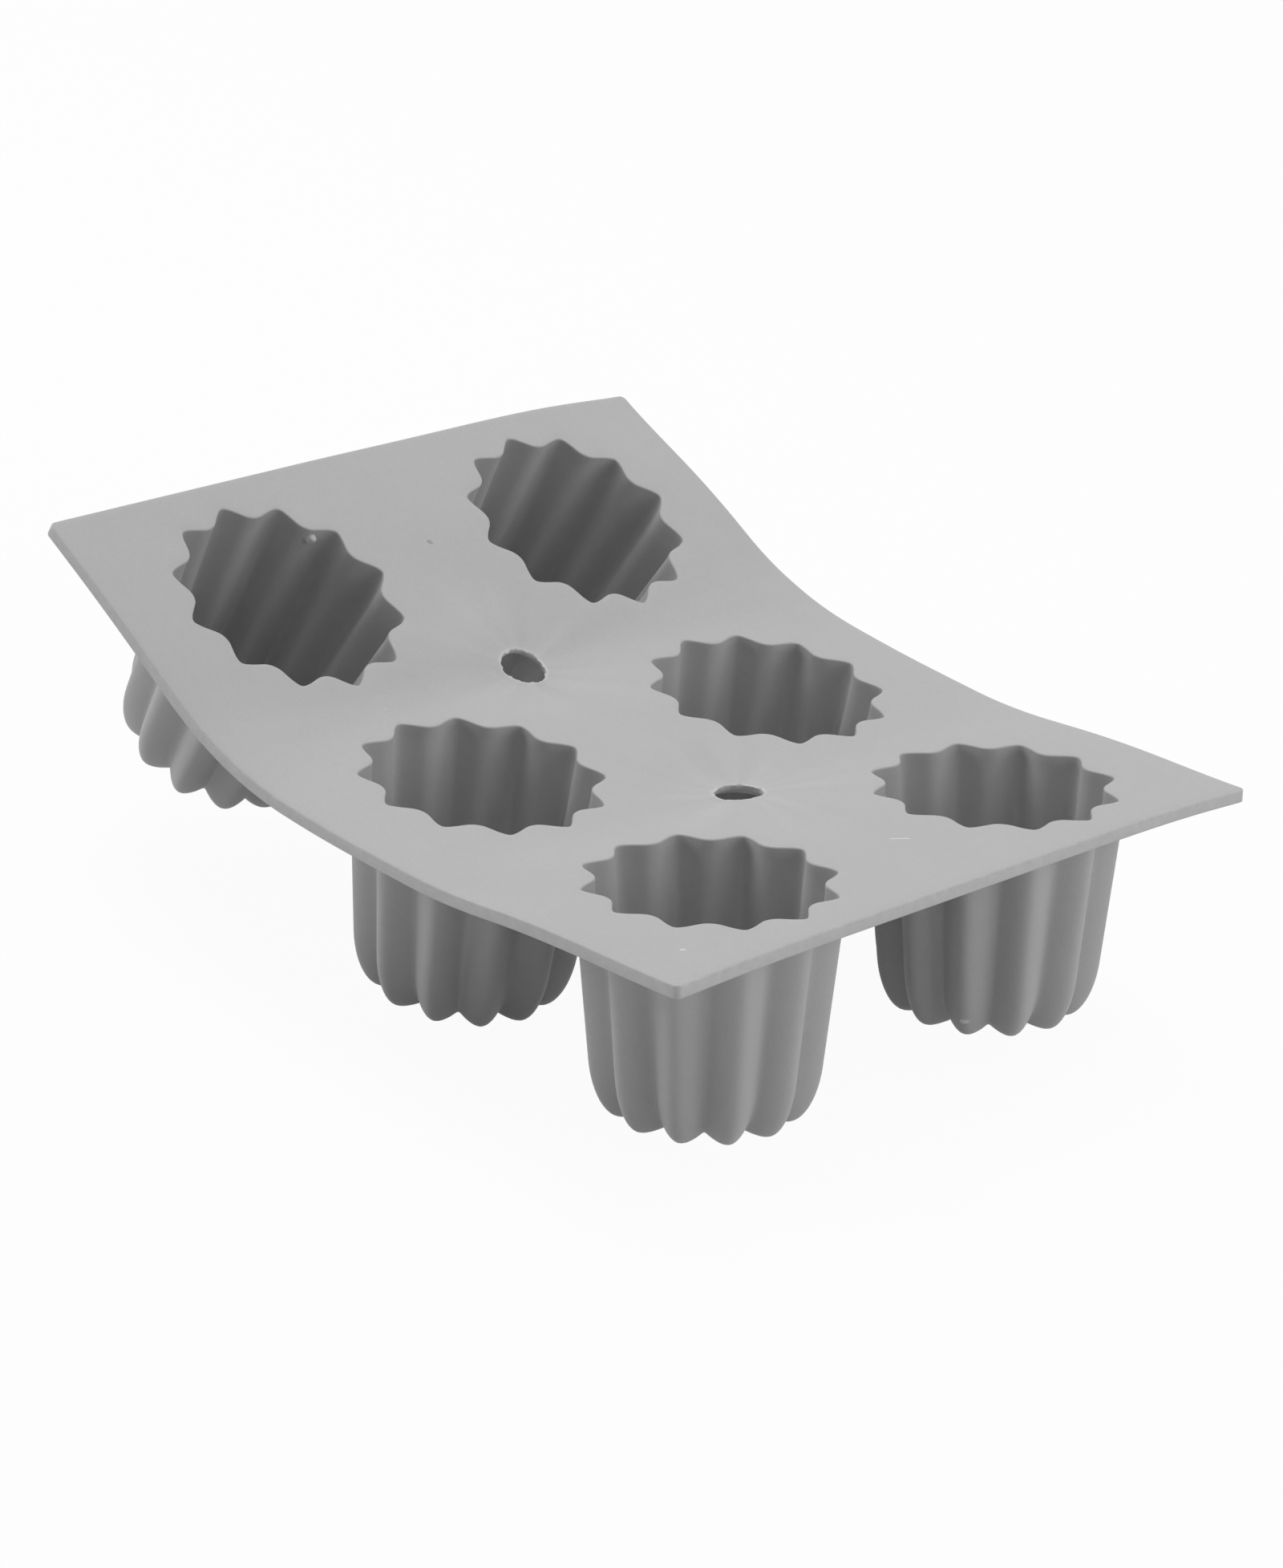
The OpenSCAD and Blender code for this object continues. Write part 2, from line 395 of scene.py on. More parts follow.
def new_group(name, kind, inputs, outputs):
    """An empty node group with named sockets, and the means to fill it."""
    group = bpy.data.node_groups.new(name, kind)
    for direction, sockets in (("INPUT", inputs), ("OUTPUT", outputs)):
        for label, socket_kind, value in sockets:
            socket = group.interface.new_socket(label, in_out=direction, socket_type=socket_kind)
            if value is not None:
                socket.default_value = value
    return group, Nodes(group)


# What each ring of a cup carries: radius to its tips, depth of its flutes, how the flutes are drawn, its
# height, and how far its grooves are raised
RING_VALUES = ("tip", "flute", "flank", "tip_round", "ridge_round", "height", "groove_raise")


def fluted_shell_tree():
    """Turns a profile's points round an axis and presses evenly spaced flutes into it."""
    group, n = new_group("Fluted shell", "GeometryNodeTree", (
        ("Profile", "NodeSocketGeometry", None),
        ("Flutes", "NodeSocketInt", flutes),
        ("Points per flute", "NodeSocketInt", points_per_flute),
        ("Material", "NodeSocketMaterial", None),
    ), (("Shell", "NodeSocketGeometry", None),))
    given = n.add("NodeGroupInput").outputs
    columns = n.maths("MULTIPLY", given["Flutes"], given["Points per flute"])
    rings = n.add("GeometryNodeAttributeDomainSize", {"Geometry": given["Profile"]}).outputs["Point Count"]
    grid = n.add("GeometryNodeMeshGrid", {
        "Size X": 1.0, "Size Y": 1.0,
        "Vertices X": n.maths("ADD", columns, 1.0), "Vertices Y": rings,
    })
    grid_point = n.add("GeometryNodeInputPosition").outputs[0]
    place_on_grid = n.add("ShaderNodeSeparateXYZ", {"Vector": grid_point})
    turn = n.maths("ADD", place_on_grid.outputs["X"], 0.5)
    up_grid = n.maths("ADD", place_on_grid.outputs["Y"], 0.5)
    ring = n.maths("ROUND", n.maths("MULTIPLY", up_grid, n.maths("SUBTRACT", rings, 1.0)))
    step = n.maths("ROUND", n.maths("MULTIPLY", turn, columns))
    marked = grid.outputs["Mesh"]
    for label, value in (("ring", ring), ("step", step)):
        marked = n.add("GeometryNodeStoreNamedAttribute",
                       {"Geometry": marked, "Name": label, "Value": value},
                       data_type="FLOAT", domain="POINT").outputs["Geometry"]

    def stored(label):
        return n.add("GeometryNodeInputNamedAttribute", {"Name": label}, data_type="FLOAT").outputs[0]

    ring_value = stored("ring")
    step_value = stored("step")
    of_ring = {}
    for label in RING_VALUES:
        sampled = n.add("GeometryNodeSampleIndex", {
            "Geometry": given["Profile"], "Value": stored(label), "Index": ring_value,
        }, data_type="FLOAT", domain="POINT")
        of_ring[label] = sampled.outputs[0]
    turned = n.maths("DIVIDE", step_value, columns)
    half_flutes = n.maths("MULTIPLY", n.maths("MULTIPLY", turned, given["Flutes"]), 2.0)
    across = n.maths("PINGPONG", half_flutes, 1.0)
    tip_round = of_ring["tip_round"]
    round_square = n.maths("MULTIPLY", tip_round, tip_round)
    spread = n.maths("ADD", n.maths("MULTIPLY", across, across), round_square)
    flank = n.maths("MULTIPLY", of_ring["flank"], n.maths("SUBTRACT", n.maths("SQRT", spread), tip_round))
    share = n.maths("SMOOTH_MIN", flank, 1.0, of_ring["ridge_round"])
    radius = n.maths("SUBTRACT", of_ring["tip"], n.maths("MULTIPLY", of_ring["flute"], share))
    angle = n.maths("MULTIPLY", turned, math.tau)
    position = n.add("ShaderNodeCombineXYZ", {
        "X": n.maths("MULTIPLY", radius, n.maths("COSINE", angle)),
        "Y": n.maths("MULTIPLY", radius, n.maths("SINE", angle)),
        "Z": n.maths("ADD", of_ring["height"], n.maths("MULTIPLY", of_ring["groove_raise"], share)),
    })
    shaped = n.add("GeometryNodeSetPosition", {"Geometry": marked, "Position": position.outputs[0]})
    closed = n.add("GeometryNodeMergeByDistance", {"Geometry": shaped.outputs[0], "Distance": merge_gap})
    whole = n.add("GeometryNodeRealizeInstances", {"Geometry": closed.outputs[0]})
    painted = n.add("GeometryNodeSetMaterial", {
        "Geometry": whole.outputs[0], "Material": given["Material"],
    })
    n.add("NodeGroupOutput", {"Shell": painted.outputs[0]})
    return group


def cavity_tip(depth):
    """Radius to the tips of the cavity's flutes at a depth below the deck's top."""
    share = (depth - deck_t) / (cavity_depth - deck_t)
    return mouth_r - (mouth_r - base_r) * share


def flute_at(depth):
    """How far a flute is pressed in at a depth below the deck's top."""
    share = (depth - deck_t) / (cavity_depth - deck_t)
    return mouth_flute + (base_flute - mouth_flute) * share


def inside_ring(depth, inset=0, level=None):
    """Ring values of the cavity's wall, straight through the deck and tapered below it."""
    below = max(depth, deck_t)
    height = -depth if level is None else level
    return (cavity_tip(below) - inset, flute_at(below), *INSIDE_FLUTE, height, 0)


def outside_ring(depth, inset=0, groove_raise=0):
    """Ring values of the outside wall."""
    share = (depth - deck_t) / (cup_h - deck_t)
    drawn = [a + (b - a) * share for a, b in zip(OUTSIDE_FLUTE_MOUTH, OUTSIDE_FLUTE_BASE)]
    return (cavity_tip(depth) + wall_t - inset, flute_at(depth), *drawn, -depth, groove_raise)


def round_ring(radius, height):
    """Ring values of a plain circle."""
    return (radius, 0, 1, 1, 1, height, 0)


def cup_profile():
    """Rings of a cup in order: its mouth, cavity, floor, standing rim and outside wall."""
    rings = []
    for a in np.linspace(0, math.pi / 2, rim_count):
        rings.append(inside_ring(0, -rim_round * (1 - math.sin(a)), -rim_round * (1 - math.cos(a))))
    for depth in (deck_t - mouth_bend, deck_t + mouth_bend, *wall_depths):
        rings.append(inside_ring(depth))
    for a in np.linspace(0, math.pi / 2, floor_curve_count):
        depth = cavity_depth - curve_h * (1 - math.sin(a))
        rings.append(inside_ring(depth, curve_w * (1 - math.cos(a))))
    rings.append(round_ring(rim_hole_r, -cavity_depth))
    rings.append(round_ring(rim_hole_r, -cup_h + foot_dish))
    for a in np.linspace(math.pi / 2, 0, foot_count):
        depth = cup_h - foot_curve_h * (1 - math.sin(a))
        turned_in = 1 - math.cos(a)
        rings.append(outside_ring(depth, foot_inset * turned_in, petal_raise * turned_in))
    for depth in (*reversed(wall_depths), under_deck_depth, deck_t):
        rings.append(outside_ring(depth))
    return rings


class Shell:
    """Points, faces and rings of one cup, before it is set into a deck."""

    def __init__(self, mesh):
        count = len(mesh.vertices)
        co = np.empty(3 * count, np.float32)
        mesh.vertices.foreach_get("co", co)
        self.points = co.reshape(-1, 3).astype(float)
        self.faces = [tuple(p.vertices) for p in mesh.polygons]
        ring = np.empty(count, np.float32)
        mesh.attributes["ring"].data.foreach_get("value", ring)
        around = flutes * points_per_flute
        turned = np.arctan2(self.points[:, 1], self.points[:, 0]) / math.tau
        self.rings = {}
        for index in np.lexsort((np.round(turned * around) % around, np.round(ring))):
            self.rings.setdefault(int(round(ring[index])), []).append(int(index))
        self.first, self.last = self.rings[0], self.rings[max(self.rings)]


def set_values(mesh, label, values):
    """Stores one number for each point of a mesh."""
    attribute = mesh.attributes.new(label, "FLOAT", "POINT")
    attribute.data.foreach_set("value", np.array(values, np.float32))


def fluted_shell(name, rings, tree, material):
    """The fluted shell of a profile, as a plain mesh in millimetres."""
    profile = bpy.data.meshes.new(name)
    profile.from_pydata([(0, 0, 0)] * len(rings), [], [])
    for label, values in zip(RING_VALUES, zip(*rings)):
        set_values(profile, label, values)
    holder = bpy.data.objects.new(name, profile)
    bpy.context.collection.objects.link(holder)
    shaper = holder.modifiers.new("fluted_shell", "NODES")
    shaper.node_group = tree
    sockets = {s.name: s.identifier for s in tree.interface.items_tree if s.in_out == "INPUT"}
    shaper[sockets["Flutes"]] = flutes
    shaper[sockets["Points per flute"]] = points_per_flute
    shaper[sockets["Material"]] = material
    evaluated = holder.evaluated_get(bpy.context.evaluated_depsgraph_get())
    mesh = bpy.data.meshes.new_from_object(evaluated)
    shell = Shell(mesh)
    bpy.data.objects.remove(holder)
    bpy.data.meshes.remove(mesh)
    bpy.data.meshes.remove(profile)
    return shell


class Skin:
    """A closed surface in the making, with points given along the deck, across it and above it."""

    def __init__(self):
        self.points = []
        self.pale = []
        self.faces = []

    def add(self, points, pale=0):
        """Adds points and gives their numbers."""
        first = len(self.points)
        self.points.extend(tuple(float(v) for v in p) for p in points)
        self.pale.extend([pale] * (len(self.points) - first))
        return list(range(first, len(self.points)))

    def flat(self, loop):
        """Places of a loop's points, seen from above the deck."""
        return np.array([self.points[i][:2] for i in loop])

    def bridge(self, one, two, closed):
        """Joins two rows of points by a band of faces."""
        pairs = list(zip(one, two))
        for (a, b), (c, d) in zip(pairs, pairs[1:] + (pairs[:1] if closed else [])):
            self.faces.append((a, c, d, b))

    def tube(self, rings, closed=True):
        """Joins each ring to the next."""
        for one, two in zip(rings, rings[1:]):
            self.bridge(one, two, closed)

    def add_cup(self, shell, row, side):
        """Adds a cup at its place, and gives its rings at the deck's top and underside."""
        moved = shell.points.copy()
        s, y = cup_axis(row, side, moved[:, 2])
        moved[:, 0] += s
        moved[:, 1] += y
        start = len(self.points)
        self.add(moved)
        self.faces.extend(tuple(start + i for i in face) for face in shell.faces)
        return [start + i for i in shell.first], [start + i for i in shell.last]

    def add_nib(self, s, y, w):
        """A small closed blob, a little uneven all round, painted pale as a highlight."""
        around, up = 20, 12
        turn = np.linspace(0, math.tau, around, endpoint=False)
        rings = []
        for tilt in np.linspace(-math.pi / 2, math.pi / 2, up + 1)[1:-1]:
            wide = nib_r * math.cos(tilt) * (1 + nib_uneven * np.sin(2 * turn + 3 * tilt))
            level = np.full(around, w + nib_r * math.sin(tilt))
            points = zip(s + wide * np.cos(turn), y + wide * np.sin(turn), level)
            rings.append(self.add(points, nib_painted_highlight))
        self.tube(rings)
        for ring, level in ((rings[0], w - nib_r), (rings[-1], w + nib_r)):
            pole = self.add([(s, y, level)], nib_painted_highlight)[0]
            self.faces.extend((ring[k - 1], ring[k], pole) for k in range(around))

    def fill(self, loops, loose, height):
        """Triangles between the loops, through loose points at one height."""
        outlines = [self.flat(loop) for loop in loops]
        loose = loose[inside(loose, outlines)]
        edge = np.concatenate(outlines)
        along = loose[:, None, 0] - edge[None, :, 0]
        across = loose[:, None, 1] - edge[None, :, 1]
        loose = loose[np.hypot(along, across).min(axis=1) > loose_clear]
        ids = [i for loop in loops for i in loop]
        ids += self.add([(s, y, height(s, y)) for s, y in loose])
        flat = [Vector(self.points[i][:2]) for i in ids]
        edges, start = [], 0
        for loop in loops:
            edges += [(start + k, start + (k + 1) % len(loop)) for k in range(len(loop))]
            start += len(loop)
        out, _, faces, origin, _, _ = delaunay_2d_cdt(flat, edges, [], 0, 1e-7, True)
        co = np.array([v[:] for v in out])
        middles = np.array([co[list(face)].mean(axis=0) for face in faces])
        for face, kept in zip(faces, inside(middles, outlines)):
            if kept:
                self.faces.append(tuple(ids[origin[i][0]] for i in face))

    def mesh_object(self, name, material):
        """The skin as a smooth object at its place in the bent mould."""
        s, y, w = np.array(self.points).T
        mesh = bpy.data.meshes.new(name)
        mesh.from_pydata(place(s, y, w).tolist(), [], self.faces)
        set_values(mesh, "pale", self.pale)
        work = bmesh.new()
        work.from_mesh(mesh)
        bmesh.ops.recalc_face_normals(work, faces=work.faces)
        work.to_mesh(mesh)
        work.free()
        mesh.shade_smooth()
        mesh.set_sharp_from_angle(angle=sharp_from)
        mesh.materials.append(material)
        piece = bpy.data.objects.new(name, mesh)
        bpy.context.collection.objects.link(piece)
        return piece


def inside(points, loops):
    """Whether each point lies within the first loop and out of the others."""
    odd = np.zeros(len(points), bool)
    px, py = points[:, 0], points[:, 1]
    for loop in loops:
        for (x0, y0), (x1, y1) in zip(loop, np.roll(loop, -1, axis=0)):
            if y0 == y1:
                continue
            crossed = (y0 > py) != (y1 > py)
            odd ^= crossed & (px < (x1 - x0) * (py - y0) / (y1 - y0) + x0)
    return odd


def seam(y):
    """Where the seam crosses the deck, as a distance from the middle."""
    return seam_at_hole + (seam_at_cups - seam_at_hole) * smooth(np.abs(y), *seam_turn)


def seam_row():
    """Places across the deck of the points that two skins share at their seam."""
    side = deck_half - edge_round
    return np.linspace(-side, side, seam_count)


def edge_steps():
    """Inset and height of the rings that round the deck's edge, from its top to its underside."""
    turns = np.linspace(0, math.pi / 2, edge_count)
    top = [(edge_round * (1 - math.sin(a)), -edge_round * (1 - math.cos(a))) for a in turns]
    top.append((0, -edge_round - edge_flat))
    return top + [(inset, -deck_t - w) for inset, w in reversed(top)]


def end_path(row, inset):
    """The free edge of an end panel from its left seam round its end to its right seam."""
    side = deck_half - inset
    start = float(seam(deck_half))
    straight = np.linspace(start, deck_end - corner_r, row_side_count)
    arc = np.linspace(0, math.pi / 2, corner_count)[1:]
    r = corner_r - inset
    reach = deck_half - corner_r
    left = [(s, -side) for s in straight]
    left += [(deck_end - corner_r + r * math.sin(a), -(reach + r * math.cos(a))) for a in arc]
    across = np.linspace(-reach, reach, row_end_count)[1:-1]
    right = [(s, -y) for s, y in reversed(left)]
    return [(row * s, y) for s, y in left + [(deck_end - inset, y) for y in across] + right]


def side_path(side, inset):
    """The free edge of the middle panel on one side."""
    reach = float(seam(deck_half))
    stations = np.linspace(-reach, reach, middle_side_count)
    return [(s, side * (deck_half - inset)) for s in stations]


def free_edge(skin, path):
    """Rings of points that round a stretch of the deck's edge."""
    rings = []
    # Each ring is painted paler: wear along the top, and painted light on the edge face
    for (inset, w), pale in zip(edge_steps(), edge_wear_and_painted_light):
        rings.append(skin.add([(s, y, w) for s, y in path(inset)], pale))
    skin.tube(rings, closed=False)
    return rings


def close_seam(skin, top, bottom, start_rings, end_rings):
    """Joins a seam's top and bottom rows, and the rounded edges at its two ends."""
    skin.bridge(top, bottom, closed=False)
    for ends in (start_rings, end_rings):
        skin.faces.append(tuple(ends))


def loose_points(low, high):
    """Points spread over the deck, closer where it bends and beside its seams."""
    stations = list(np.arange(low + loose_start, high, loose_gap))
    for row in (FRONT, REAR):
        stations += [row * s for s in np.arange(*bend_reach, loose_gap_at_bend)]
        stations += [row * (seam_at_cups + gap) for gap in (-loose_beside_seam, loose_beside_seam)]
    stations = sorted(round(s, 2) for s in set(stations) if low < s < high)
    kept = [stations[0]]
    for s in stations[1:]:
        if s - kept[-1] > loose_gap_least:
            kept.append(s)
    across = np.arange(-deck_half + loose_start, deck_half, loose_gap_across)
    return np.array([(s, y) for s in kept for y in across])


def ragged(a, amount, seed):
    """A torn outline's offset by angle: a few sine waves with set phases."""
    waves = ((3, 0.5), (7, 0.4), (12, 0.35), (19, 0.3), (31, 0.22))
    return amount * sum(size * np.sin(k * a + seed * (k + 1.7)) for k, size in waves)


def hang_hole(skin, row):
    """A punched hole with a raised, torn lip at its top and a dished underside."""
    angles = np.linspace(0, math.tau, hole_count, endpoint=False)
    # Radius, height over the deck's top, how torn, how pale
    steps = (
        (hole_lip_r, 0.0, 0.0, 0),
        (hole_r + 0.55, 0.12, 0.10, 0.5),
        (hole_r + 0.25, 0.16, 0.22, 1),
        (hole_r + 0.02, 0.02, 0.30, 1),
        (hole_r - 0.05, -0.30, 0.16, 0.5),
        (hole_r, -0.9, 0.05, 0),
        (hole_r, -hole_web_t + 0.1, 0.03, 0),
        (hole_r + 0.15, -hole_web_t, 0.03, 0),
        (hole_r + 1.4, -hole_web_t - 0.5, 0.0, 0),
        (hole_dish_r - 1.0, -deck_t + 0.25, 0.0, 0),
        (hole_dish_r, -deck_t, 0.0, 0),
    )
    rings = []
    for radius, w, tear, pale in steps:
        r = radius + ragged(angles, tear, tear_seed[row])
        s = row * row_pitch / 2 + r * np.cos(angles)
        rings.append(skin.add(zip(s, r * np.sin(angles), np.full(len(angles), w)), pale))
    skin.tube(rings)
    return rings[0], rings[-1]


def row_skin(row, shell, material):
    """One row's closed skin: its deck with the bends beside it, its hole, cups and cavities."""
    skin = Skin()
    tops, bottoms = [], []
    for side in (LEFT, RIGHT):
        top, bottom = skin.add_cup(shell, row, side)
        tops.append(top)
        bottoms.append(bottom)
    across = seam_row()[1:-1]

    def seam_points(end, w):
        return skin.add([(end * float(seam(y)), y, w) for y in across])

    if row == MIDDLE:
        edges = {side: free_edge(skin, lambda inset: side_path(side, inset)) for side in (LEFT, RIGHT)}
        rows = {(end, w): seam_points(end, w) for end in (FRONT, REAR) for w in (0, -deck_t)}
        outlines = []
        for level, w in ((0, 0), (-1, -deck_t)):
            left, right = edges[LEFT][level], edges[RIGHT][level]
            outlines.append(left + rows[FRONT, w] + right[::-1] + rows[REAR, w][::-1])
        for end, at in ((FRONT, -1), (REAR, 0)):
            left, right = ([ring[at] for ring in edges[side]] for side in (LEFT, RIGHT))
            close_seam(skin, [left[0]] + rows[end, 0] + [right[0]],
                       [left[-1]] + rows[end, -deck_t] + [right[-1]], left, right)
        reach = (-seam_at_cups, seam_at_cups)
    else:
        hole_top, hole_bottom = hang_hole(skin, row)
        tops.append(hole_top)
        bottoms.append(hole_bottom)
        rings = free_edge(skin, lambda inset: end_path(row, inset))
        rows = {w: seam_points(row, w) for w in (0, -deck_t)}
        outlines = [rings[0] + rows[0][::-1], rings[-1] + rows[-deck_t][::-1]]
        left, right = ([ring[at] for ring in rings] for at in (0, -1))
        close_seam(skin, [left[0]] + rows[0] + [right[0]],
                   [left[-1]] + rows[-deck_t] + [right[-1]], left, right)
        reach = sorted((row * seam_at_hole, row * deck_end))
    if row == REAR:
        turn = math.radians(nib_turn)
        nib_at = mouth_r - nib_share * mouth_flute
        nib_s = -row_pitch + nib_at * math.cos(turn)
        skin.add_nib(nib_s, nib_at * math.sin(turn) - cup_pitch / 2, -nib_depth)
    loose = loose_points(*reach)
    skin.fill([outlines[0]] + tops, loose, lambda s, y: 0)
    skin.fill([outlines[1]] + bottoms, loose, lambda s, y: -deck_t)
    return skin.mesh_object(ROW_NAMES[row] + "_row_silicone", material)


def floor_skin(name, row, side, level, inward, material):
    """A thin closed face of a cup's floor, crowned over the disc that is pushed up."""
    skin = Skin()
    angles = np.linspace(0, math.tau, flutes * points_per_flute, endpoint=False)
    def crown(r):
        return level + floor_lift * (1 - float(smooth(r, disc_r, rim_hole_r)))

    def ring(r, w):
        s, y = cup_axis(row, side, w)
        return skin.add(zip(s + r * np.cos(angles), y + r * np.sin(angles), np.full(len(angles), w)))

    faces = []
    for gap in (0, inward):
        rings = [ring(r, crown(r) + gap) for r in floor_radii]
        skin.tube(rings)
        w = crown(0) + gap
        pole = skin.add([(*cup_axis(row, side, w), w)])[0]
        around = rings[-1]
        skin.faces.extend((around[k - 1], around[k], pole) for k in range(len(around)))
        faces.append(rings)
    skin.bridge(faces[0][0], faces[1][0], closed=True)
    return skin.mesh_object(name, material)


def hole_streaks(n, at):
    """Pale streaks that fan out from each hole and fade with distance."""
    streak_sum = None
    for row in (FRONT, REAR):
        hole = place(row * row_pitch / 2, 0, 0)
        away = n.add("ShaderNodeVectorMath", {0: at, 1: tuple(hole)}, operation="SUBTRACT")
        length = n.add("ShaderNodeVectorMath", {0: away.outputs[0]}, operation="LENGTH")
        way = n.add("ShaderNodeVectorMath", {0: away.outputs[0]}, operation="NORMALIZE")
        rays = n.add("ShaderNodeTexNoise", {"Vector": way.outputs[0], "Scale": 2.6, "Detail": 1.5})
        near = n.add("ShaderNodeMapRange", {
            "Value": length.outputs["Value"],
            "From Min": streak_reach[0] * MM, "From Max": streak_reach[1] * MM,
            "To Min": 1.0, "To Max": 0.0,
        }, interpolation_type="SMOOTHSTEP")
        strength = n.maths("SUBTRACT", rays.outputs[0], streak_cut)
        streak = n.maths("MULTIPLY", strength, near.outputs[0])
        streak_sum = streak if streak_sum is None else n.maths("ADD", streak_sum, streak)
    return streak_sum


def mark_shade(n, at, start, end, radius, change):
    """Change of shade along a short line between two places on the mould."""
    a, b = Vector(place(*start)), Vector(place(*end))
    away = n.add("ShaderNodeVectorMath", {0: at, 1: a}, operation="SUBTRACT")
    span = (b - a) / (b - a).length_squared
    along = n.add("ShaderNodeVectorMath", {0: away.outputs[0], 1: span}, operation="DOT_PRODUCT")
    share = n.add("ShaderNodeClamp", {"Value": along.outputs["Value"]})
    nearest = n.add("ShaderNodeVectorMath", {0: b - a, "Scale": share.outputs[0]}, operation="SCALE")
    gap = n.add("ShaderNodeVectorMath", {0: away.outputs[0], 1: nearest.outputs[0]}, operation="DISTANCE")
    touch = n.add("ShaderNodeMapRange", {
        "Value": gap.outputs["Value"], "From Min": radius * MM, "From Max": mark_soft * radius * MM,
        "To Min": change, "To Max": 0.0,
    })
    return touch.outputs[0]


def specks(n, at, scale, largest, rare, chosen):
    """Where a few cells of a pattern have a speck; the chosen channel picks those cells."""
    cells = n.add("ShaderNodeTexVoronoi", {"Vector": at, "Scale": scale, "Randomness": 1.0})
    chance = n.add("ShaderNodeSeparateColor", {"Color": cells.outputs["Color"]}).outputs
    size = n.maths("MULTIPLY", chance[1], largest)
    within = n.maths("LESS_THAN", cells.outputs["Distance"], size)
    return n.maths("MULTIPLY", within, n.maths("GREATER_THAN", chance[chosen], rare))


def finish_group():
    """Fine grain, soft mottling, dust, marks and pale streaks of moulded silicone, and paler places: wear
    and painted light on the deck's edge, a painted highlight on the nib.
    """
    group, n = new_group("Moulded silicone", "ShaderNodeTree", (
        ("Colour", "NodeSocketColor", (0.5, 0.5, 0.5, 1)),
        ("Grain", "NodeSocketFloat", 0.05),
        ("Mottle", "NodeSocketFloat", 0.05),
        ("Streaks", "NodeSocketFloat", 0.04),
        ("Dust", "NodeSocketFloat", 0.3),
    ), (
        ("Colour", "NodeSocketColor", None),
        ("Roughness", "NodeSocketFloat", None),
        ("Height", "NodeSocketFloat", None),
    ))
    given = n.add("NodeGroupInput").outputs
    at = n.add("ShaderNodeTexCoord").outputs["Object"]
    grain, cloud, patch = (n.add("ShaderNodeTexNoise", {
        "Vector": at, "Scale": scale, "Detail": detail, "Roughness": rough,
    }).outputs[0] for scale, detail, rough in (grain_noise, cloud_noise, patch_noise))

    def signed(socket, amount):
        return n.maths("MULTIPLY", n.maths("SUBTRACT", socket, 0.5), amount)

    shade = n.maths("ADD", signed(grain, n.maths("MULTIPLY", given["Grain"], 2.0)), 1.0)
    shade = n.maths("ADD", shade, signed(cloud, given["Mottle"]))
    shade = n.maths("ADD", shade, signed(patch, n.maths("MULTIPLY", given["Mottle"], 0.6)))
    shade = n.maths("ADD", shade, n.maths("MULTIPLY", hole_streaks(n, at), given["Streaks"]))
    # Paler places that the points carry: wear and painted light on the deck's edge, the holes' lips, and
    # the nib's painted highlight
    pale = n.add("ShaderNodeAttribute", attribute_name="pale").outputs["Fac"]
    broken = n.add("ShaderNodeMapRange", {
        "Value": patch, "From Min": pale_patches[0], "From Max": pale_patches[1],
        "To Min": pale_gain[0], "To Max": pale_gain[1],
    })
    shade = n.maths("ADD", shade, n.maths("MULTIPLY", pale, broken.outputs[0]))
    for mark in marks:
        shade = n.maths("ADD", shade, mark_shade(n, at, *mark))
    tinted = n.add("ShaderNodeVectorMath", {0: given["Colour"], "Scale": shade}, operation="SCALE")
    dust_mix = n.add("ShaderNodeMix", {
        0: n.maths("MULTIPLY", specks(n, at, *dust_specks, 0), given["Dust"]),
        "A": tinted.outputs[0], "B": dust_colour,
    }, data_type="RGBA")
    dot_mix = n.add("ShaderNodeMix", {
        0: n.maths("MULTIPLY", specks(n, at, *dark_dots, 2), 0.5),
        "A": dust_mix.outputs[2], "B": dot_colour,
    }, data_type="RGBA")
    rough = n.maths("ADD", signed(cloud, 0.12), roughness)
    rough = n.maths("ADD", rough, signed(grain, 0.10))
    height = n.maths("ADD", grain, n.maths("MULTIPLY", patch, 0.8))
    n.add("NodeGroupOutput", {"Colour": dot_mix.outputs[2], "Roughness": rough, "Height": height})
    return group


def clear_tree(owner):
    """The emptied node tree of a material or a world, ready to be filled."""
    owner.use_nodes = True
    owner.node_tree.nodes.clear()
    return Nodes(owner.node_tree)


def silicone(name, finish_tree, colour, grain, mottle, streaks, dust):
    """Matt grey silicone with a faint sheen at grazing angles."""
    material = bpy.data.materials.new(name)
    n = clear_tree(material)
    finish = n.add("ShaderNodeGroup", node_tree=finish_tree)
    values = {"Colour": (*colour, 1), "Grain": grain, "Mottle": mottle, "Streaks": streaks, "Dust": dust}
    for label, value in values.items():
        finish.inputs[label].default_value = value
    bump = n.add("ShaderNodeBump", {
        "Strength": 0.25, "Distance": 0.00006, "Height": finish.outputs["Height"],
    })
    surface = n.add("ShaderNodeBsdfPrincipled", {
        "Base Color": finish.outputs["Colour"], "Roughness": finish.outputs["Roughness"],
        "Normal": bump.outputs[0], "IOR": 1.41, "Specular IOR Level": 0.42,
        "Sheen Weight": 0.06, "Sheen Roughness": 0.5,
    })
    n.add("ShaderNodeOutputMaterial", {"Surface": surface.outputs[0]})
    return material


def seen_directly(n):
    """1 for what the camera sees, also in a reflection, and 0 for the light on the mould."""
    path = n.add("ShaderNodeLightPath")
    return n.maths("MAXIMUM", path.outputs["Is Camera Ray"], path.outputs["Is Glossy Ray"])


